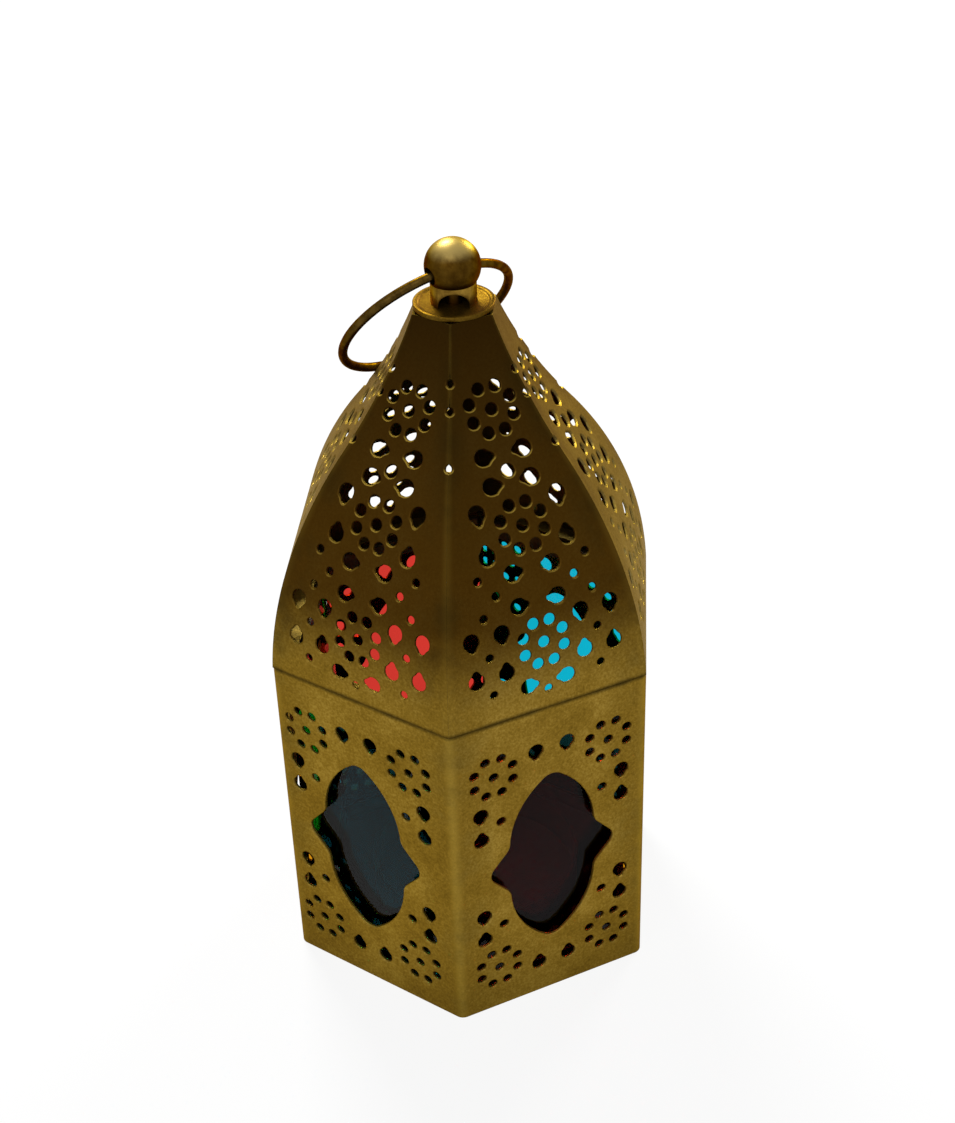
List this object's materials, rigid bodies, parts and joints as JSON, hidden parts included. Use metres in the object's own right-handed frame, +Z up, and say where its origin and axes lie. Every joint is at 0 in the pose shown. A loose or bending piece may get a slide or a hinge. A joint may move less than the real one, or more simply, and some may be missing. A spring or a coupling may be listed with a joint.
{
  "type": "candle lantern",
  "caption": "Hexagonal pierced-metal candle lantern with coloured glass panes behind barbed windows, a hinged ogee roof and a hanging ring.",
  "frame": {"origin": "centre of the floor plate's underside, on the surface it stands on", "axes": "+Z up; -Y out of the front wall; +Y out of the back wall, which carries the hinge"},
  "size_m": [0.0798, 0.0725, 0.1473],
  "materials": {
    "gold_sheet": "aged antique-gold paint, satin",
    "dark_sheet": "dull bare sheet",
    "brass_fittings": "tarnished, satin",
    "glass_turquoise": "clear tinted",
    "glass_red": "clear tinted",
    "glass_amber": "clear tinted"
  },
  "bodies": {
    "base": {"base_floor": "gold_sheet", "wall_front": "gold_sheet", "wall_front_right": "gold_sheet", "wall_back_right": "gold_sheet", "wall_back": "gold_sheet", "wall_back_left": "gold_sheet", "wall_front_left": "gold_sheet", "pane_front": "glass_turquoise", "pane_front_right": "glass_red", "pane_back_right": "glass_amber", "pane_back": "glass_turquoise", "pane_back_left": "glass_red", "pane_front_left": "glass_amber", "channels_front": "dark_sheet", "channels_front_right": "dark_sheet", "channels_back_right": "dark_sheet", "channels_back": "dark_sheet", "channels_back_left": "dark_sheet", "channels_front_left": "dark_sheet", "candle_cup": "gold_sheet", "hinge_leaf_base": "brass_fittings", "hinge_pin": "brass_fittings", "rivets_base": "brass_fittings"},
    "lid": {"petal_front": "gold_sheet", "petal_front_right": "gold_sheet", "petal_back_right": "gold_sheet", "petal_back": "gold_sheet", "petal_back_left": "gold_sheet", "petal_front_left": "gold_sheet", "cap_disc": "gold_sheet", "finial_collar": "brass_fittings", "finial_ball": "brass_fittings", "finial_nut": "brass_fittings", "hinge_leaf_roof": "brass_fittings", "rivets_roof": "brass_fittings"},
    "ring": {"ring_handle": "brass_fittings"}
  },
  "joints": [
    {"name": "lid_hinge", "type": "hinge", "parent": "base", "child": "lid", "pos_m": [0, 0.03644, 0.07005], "axis": [-1, 0, 0], "range_deg": [0, 120]},
    {"name": "ring_swing", "type": "hinge", "parent": "lid", "child": "ring", "pos_m": [0, 0, 0.14156], "axis": [0.3923, 0.9198, 0], "range_deg": [0, 285]}
  ]
}
